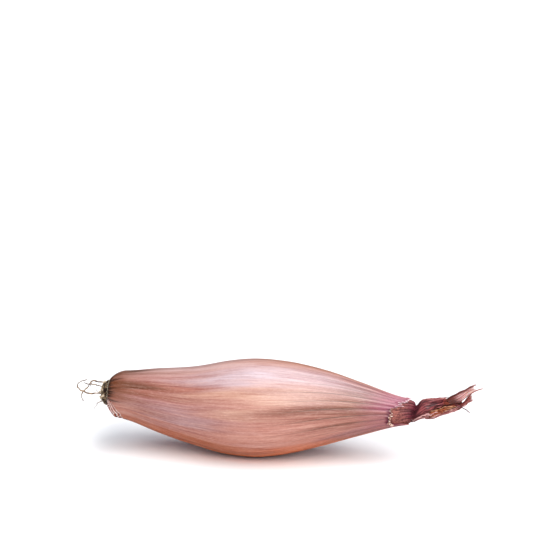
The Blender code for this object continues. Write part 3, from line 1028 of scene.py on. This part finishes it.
def wiry_finish(name, deep, light):
    """Dry fibre: two tans in patches along its length, and fine ridges."""
    finish, tree = new_finish(name, {"Roughness": 0.7, "Specular IOR Level": 0.3})
    place = step(tree, "TexCoord", out="Object")
    patches = noise(tree, place, 700.0, 2.0)
    colour = tint(tree, fade(tree, patches, 0.38, 0.62), deep, light)
    colour = tint(tree, mark_fade(tree, "far", 0.55, 1.0, 0.0, 0.5), colour, deep)
    return joined(finish, colour, relief(tree, noise(tree, place, 4000.0), 0.00006))


fibre_finish = wiry_finish("neck_fibre_finish", (84, 34, 42), (122, 62, 66))
fibre = thread(
    "loose_fibre",
    [(72.6, -0.5, 21.9), (75.0, -1.2, 21.2), (76.6, -1.7, 20.5), (78.0, -2.2, 19.5)],
    0.23 * MM, 0.65, 101, fibre_finish, 0.05,
)
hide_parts("neck_fibre")

# Each root's route in mm, its radius in mm, and what is left of that at its tip.
ROOTS = {
    "root_1": (
        [(-55.6, -0.6, 20.3), (-58.2, -1.6, 20.5), (-61.0, -2.0, 20.5), (-63.0, -2.2, 21.3),
         (-64.6, -2.4, 22.5), (-65.0, -2.6, 23.5), (-64.4, -2.6, 24.6), (-63.2, -2.4, 25.3),
         (-61.3, -2.2, 25.9)], 0.29, 0.55,
    ),
    "root_2": (
        [(-54.6, 1.2, 23.8), (-57.4, 1.8, 23.8), (-59.5, 2.0, 24.1), (-60.8, 2.0, 23.7),
         (-61.5, 2.1, 22.6), (-62.8, 2.3, 21.0), (-64.1, 2.5, 19.7), (-64.8, 2.7, 18.4),
         (-64.8, 2.9, 17.1), (-64.4, 3.1, 15.7)], 0.28, 0.6,
    ),
    "root_3": (
        [(-55.4, 0.7, 22.2), (-57.0, 0.6, 22.7), (-59.0, 0.3, 23.0), (-61.2, -0.2, 23.4),
         (-62.6, -0.5, 24.0)], 0.24, 0.5,
    ),
    "root_4": ([(-55.0, 2.3, 19.4), (-58.3, 4.1, 18.6), (-60.3, 6.2, 19.2)], 0.17, 0.5),
    "root_5": ([(-55.0, -1.9, 18.5), (-57.4, -2.8, 16.9), (-58.6, -3.2, 15.2)], 0.15, 0.5),
    "root_6": ([(-55.1, 0.5, 17.9), (-57.5, 1.2, 16.2), (-59.6, 1.0, 15.4)], 0.14, 0.5),
}
BRANCH = [(-60.8, 2.0, 23.7), (-61.0, 2.0, 22.6), (-61.4, 2.1, 21.3)]  # off the second root
root_finish = wiry_finish("dry_root_finish", (88, 66, 50), (158, 132, 106))
for number, (node, (route, radius, tip_share)) in enumerate(ROOTS.items()):
    root = thread("dry_" + node, route, radius * MM, tip_share, 110 + 10 * number, root_finish)
    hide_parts(node)
branch = thread("root_branch", BRANCH, 0.16 * MM, 0.6, 180, root_finish)


# ---- The root plate -------------------------------------------------------------------------
# The low disc of the bulb's own dry stem: a corky dome, pitted with dark holes where roots have
# broken off, with the pale stumps of others still in it.

plate_low, plate_high = (np.array(corner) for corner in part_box("root_plate"))
PLATE_CENTRE = (plate_low + plate_high) / 2
PLATE_RADIUS = (plate_high[2] - plate_low[2]) / 2
PLATE_HEIGHT = 2.5 * MM
PIT_COUNT = 44
STUMP_COUNT = 46
STUMP_SIDES = 10
# A stump's rings: (share of its length, share of its radius).
STUMP_RINGS = [(-0.6, 1.3), (0.0, 1.2), (0.35, 1.0), (0.8, 1.05), (1.0, 1.0), (0.85, 0.7)]


def plate_spots(count, seed, spread):
    """Evenly strewn places on a disc of radius 1, as (y, z): a jittered golden-angle spiral."""
    draw = np.random.default_rng(seed)
    order = np.arange(count) + 0.5
    radius = spread * np.sqrt(order / count)
    angle = order * math.pi * (3 - math.sqrt(5)) + draw.uniform(0, 0.8, count)
    spots = np.stack([radius * np.cos(angle), radius * np.sin(angle)], axis=1)
    return spots + draw.normal(0, 0.04, (count, 2))


def plate_height(spot):
    """How far the dome stands out at (y, z) on the disc, as a share of its height."""
    return np.sqrt(np.maximum(1 - 0.96 * (spot**2).sum(-1), 0.0))


def root_disc(finish):
    """A dome over a disc, with a round pit sunk at each spot and crumbly bumps between them.

    Its rings grow outwards, and a last one, a skirt, goes back into the bulb.
    """
    ring = np.linspace(0.03, 1.0, 64)[:, None]
    turn = (np.arange(150) / 150)[None, :]
    angle = math.tau * turn
    spot = np.stack([ring * np.cos(angle), ring * np.sin(angle)], axis=-1)
    pits = plate_spots(PIT_COUNT, 201, 0.93)
    size = np.random.default_rng(202).uniform(0.05, 0.11, PIT_COUNT)
    off = ((spot[..., None, :] - pits) ** 2).sum(-1) / size**2
    pit = np.exp(-(off**2)).max(-1)
    brim = np.exp(-((np.sqrt(off) - 1.5) ** 2) / 0.12).max(-1)
    crumbs = waves(turn, ring * 3, 203, (3, 22), 3.0) * ease(ring, 0.0, 0.2)
    out = PLATE_HEIGHT * plate_height(spot) + (0.28 * crumbs + 0.18 * brim - 0.80 * pit) * MM
    reach = PLATE_RADIUS * (1 + 0.03 * waves(turn, 0.0, 204, (5, 30), 0.0) * ring)
    aside = PLATE_CENTRE[1:] + reach[..., None] * spot
    dome = np.concatenate([(plate_high[0] - out)[..., None], aside], axis=2)
    skirt = dome[-1] + np.array([2.0 * MM, 0, 0])
    marks = {"pit": pit, "brim": brim, "outer": ring}
    marks = {mark: np.pad(values, ((0, 1), (0, 0)), mode="edge") for mark, values in marks.items()}
    poles = [dome[0].mean(0), skirt.mean(0)]
    return ring_solid("root_disc", np.concatenate([dome, skirt[None]]), poles, marks, finish)


def cork_finish():
    """Dry cork: crumbs of beige on almost black, paler by the pits, with painted shade in them and
    outside.
    """
    finish, tree = new_finish("dry_cork", {"Roughness": 0.85, "Specular IOR Level": 0.2})
    place = step(tree, "TexCoord", out="Object")
    crumbs = noise(tree, place, 950.0, 3.0, 0.65)
    colour = tint(tree, fade(tree, crumbs, 0.52, 0.60), (18, 10, 6), (198, 168, 130))
    colour = tint(tree, times(tree, mark_value(tree, "brim"), 0.3), colour, (212, 194, 166))
    # Painted shade round the outside, next to the skin's rim.
    colour = tint(tree, mark_fade(tree, "outer", 0.66, 0.96, 0.0, 0.72), colour, (40, 24, 14))
    # Painted shade in the pits.
    colour = tint(tree, mark_fade(tree, "pit", 0.12, 0.55), colour, (34, 20, 14))
    return joined(finish, colour, relief(tree, crumbs, 0.00022))


disc = root_disc(cork_finish())
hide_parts("root_plate")


def root_stumps(finish):
    """Short round pegs on the dome, broken off square, as one mesh.

    Each leaves the dome along a line through a point behind it, so they fan out a little. A peg
    is a stack of rings: it widens at its foot and has a hollow, frayed end.
    """
    spots = plate_spots(STUMP_COUNT, 211, 0.97)
    draw = np.random.default_rng(212)
    length = draw.uniform(0.30, 1.00, STUMP_COUNT)[:, None, None] * MM
    radius = draw.uniform(0.22, 0.50, STUMP_COUNT)[:, None, None] * MM
    out_x = plate_high[0] - PLATE_HEIGHT * plate_height(spots)
    foot = np.column_stack([out_x, PLATE_CENTRE[1:] + PLATE_RADIUS * spots])
    out = foot - (PLATE_CENTRE + np.array([5 * MM, 0, 0]))
    out /= np.linalg.norm(out, axis=1, keepdims=True)
    right = np.cross(out, [0.0, 0.0, 1.0])
    right /= np.linalg.norm(right, axis=1, keepdims=True)
    upright = np.cross(out, right)
    along, width = np.array(STUMP_RINGS).T
    columns = STUMP_SIDES
    each = len(along) * columns
    angle = (math.tau * np.arange(columns) / columns)[:, None]
    broken = (along > 0.7)[None, :, None]
    fray = 1 + 0.25 * draw.normal(0, 1, (STUMP_COUNT, 1, columns)) * broken
    far = (along[None, :, None] * fray * length)[..., None] * out[:, None, None]
    spoke = np.cos(angle) * right[:, None, None] + np.sin(angle) * upright[:, None, None]
    rings = foot[:, None, None] + far + (width[None, :, None] * radius)[..., None] * spoke
    faces, corner_uv = grid_faces(len(along), columns, True)
    caps = np.stack([np.arange(columns)[::-1], each - columns + np.arange(columns)])
    all_faces = []
    for first in each * np.arange(STUMP_COUNT):
        all_faces += (faces + first).tolist() + (caps + first).tolist()
    marks = {"peg_end": np.tile(np.repeat(np.clip(along, 0, 1), columns), STUMP_COUNT)}
    uv = np.tile(np.concatenate([corner_uv, np.zeros((2 * columns, 2))]), (STUMP_COUNT, 1))
    return add_piece("root_stumps", rings.reshape(-1, 3), all_faces, uv, marks, finish)


def stump_finish():
    """Dead root: pale straw at the broken ends, brown at the foot."""
    finish, tree = new_finish("root_stump", {"Roughness": 0.75, "Specular IOR Level": 0.25})
    place = step(tree, "TexCoord", out="Object")
    flecks = noise(tree, place, 1700.0, 3.0, 0.6)
    colour = tint(tree, mark_value(tree, "peg_end"), (38, 22, 12), (226, 206, 178))
    colour = tint(tree, fade(tree, flecks, 0.50, 0.30, 0.0, 0.7), colour, (84, 58, 40))
    return joined(finish, colour, relief(tree, flecks, 0.00012))


stumps = root_stumps(stump_finish())


# ---- The room -------------------------------------------------------------------------------
# A plain white table, a broad soft light overhead and a little to the right, and a camera that
# looks down on the bulb from the front. None of it belongs to the object.

VIEW_AZIMUTH = math.radians(8)
VIEW_DROP = math.radians(20)
AIM_ABOVE, AIM_ASIDE = math.radians(6.393), math.radians(0.478)  # from the bulb to the lens's axis
BELLY_PLACE = np.array([0.0013, 0.0, 0.0172])  # the middle of the bulb
CAMERA_DISTANCE = 0.461
LENS, SENSOR = 85.0, 36.0  # in mm
TABLE_FLAT, TABLE_RIM = 3.0, 9.0  # in m
TABLE_COLUMNS = 96
LAMP_WIDTH = math.radians(36)


def white_table():
    """A round white table at the height of the resting spot, whose far rim bends up as a backdrop.

    Past its flat part its height grows with the square of the distance.
    """
    bent = np.linspace(TABLE_FLAT + 0.3, TABLE_RIM, 20)
    reach = np.concatenate([[0.5, TABLE_FLAT], bent])[:, None]
    angle = (math.tau * np.arange(TABLE_COLUMNS) / TABLE_COLUMNS)[None, :]
    height = 0.05 * np.maximum(reach - TABLE_FLAT, 0) ** 2
    circle = reach * np.cos(angle), reach * np.sin(angle)
    rings = np.stack(np.broadcast_arrays(*circle, height), axis=-1)
    faces, _ = grid_faces(len(reach), TABLE_COLUMNS, True)
    middle_face = list(range(TABLE_COLUMNS))
    data = bpy.data.meshes.new("table_top")
    data.from_pydata(rings.reshape(-1, 3), [], faces[:, ::-1].tolist() + [middle_face])
    data.shade_smooth()
    settings = {"Base Color": (0.94, 0.94, 0.94, 1), "Roughness": 0.6, "Specular IOR Level": 0.2}
    finish, _ = new_finish("white_table", settings)
    data.materials.append(finish)
    table = bpy.data.objects.new("table_top", data)
    bpy.context.scene.collection.objects.link(table)
    table.visible_glossy = False


def soft_box():
    """A long soft box above the table, from the front over the top to the back, as three discs.

    Each is a sun turned by degrees forwards and to the right, and lights all of the table alike.
    """
    for name, tilt, aside, strength, colour in [
        ("box_front", 43, 26, 2.15, (1.0, 0.955, 0.92)),
        ("box_middle", 12, 20, 1.95, (1.0, 0.975, 0.955)),
        ("box_back", -18, 14, 1.05, (0.96, 0.98, 1.0)),
    ]:
        lamp = bpy.data.lights.new(name, "SUN")
        lamp.energy = strength
        lamp.angle = LAMP_WIDTH
        lamp.color = colour
        light = bpy.data.objects.new(name, lamp)
        light.rotation_euler = (math.radians(tilt), math.radians(aside), 0)
        bpy.context.scene.collection.objects.link(light)


def front_camera():
    """A camera whose axis passes above the bulb, which therefore lies low in the frame."""
    across, drop = math.cos(VIEW_DROP), math.sin(VIEW_DROP)
    back = np.array([math.sin(VIEW_AZIMUTH) * across, -math.cos(VIEW_AZIMUTH) * across, drop])
    lens = bpy.data.cameras.new("front_camera")
    lens.lens, lens.sensor_width = LENS, SENSOR
    lens.clip_start, lens.clip_end = 0.01, 100
    camera = bpy.data.objects.new("front_camera", lens)
    camera.location = BELLY_PLACE + CAMERA_DISTANCE * back
    camera.rotation_euler = (math.pi / 2 - VIEW_DROP + AIM_ABOVE, 0, VIEW_AZIMUTH - AIM_ASIDE)
    bpy.context.scene.collection.objects.link(camera)
    bpy.context.scene.camera = camera


white_table()
soft_box()
world = bpy.data.worlds.new("white_room")
world.use_nodes = True
sky = world.node_tree.nodes["Background"]
sky.inputs["Color"].default_value = (0.50, 0.70, 1, 1)
sky.inputs["Strength"].default_value = 0.22
world.cycles_visibility.glossy = False
bpy.context.scene.world = world
bpy.context.scene.view_settings.view_transform = "Standard"
front_camera()
